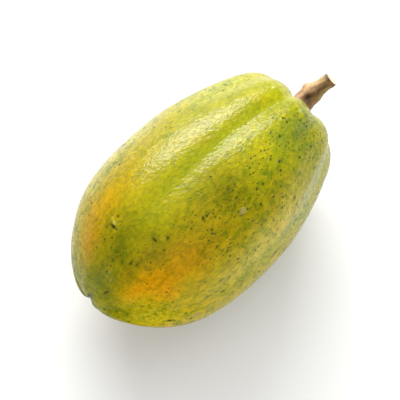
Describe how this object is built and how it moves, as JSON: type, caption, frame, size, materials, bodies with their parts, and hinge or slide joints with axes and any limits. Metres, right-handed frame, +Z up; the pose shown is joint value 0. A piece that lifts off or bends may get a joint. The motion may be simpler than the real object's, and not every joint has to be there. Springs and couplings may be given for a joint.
{
  "type": "papaya",
  "caption": "Whole ripening papaya lying on its side, an egg-shaped lobed fruit with a short cut stem, to set out as fresh fruit.",
  "frame": {"origin": "middle of the footprint of the whole object's box, on the surface that it rests on", "axes": "+X along the fruit towards the stem end, +Z up"},
  "size_m": [0.2188, 0.1222, 0.1213],
  "materials": {
    "papaya_skin": "waxy, half-gloss, fine orange-peel",
    "stem_bark": "dry, matte, ridged"
  },
  "bodies": {
    "root": {"fruit": "papaya_skin", "stem": "stem_bark"}
  },
  "joints": []
}
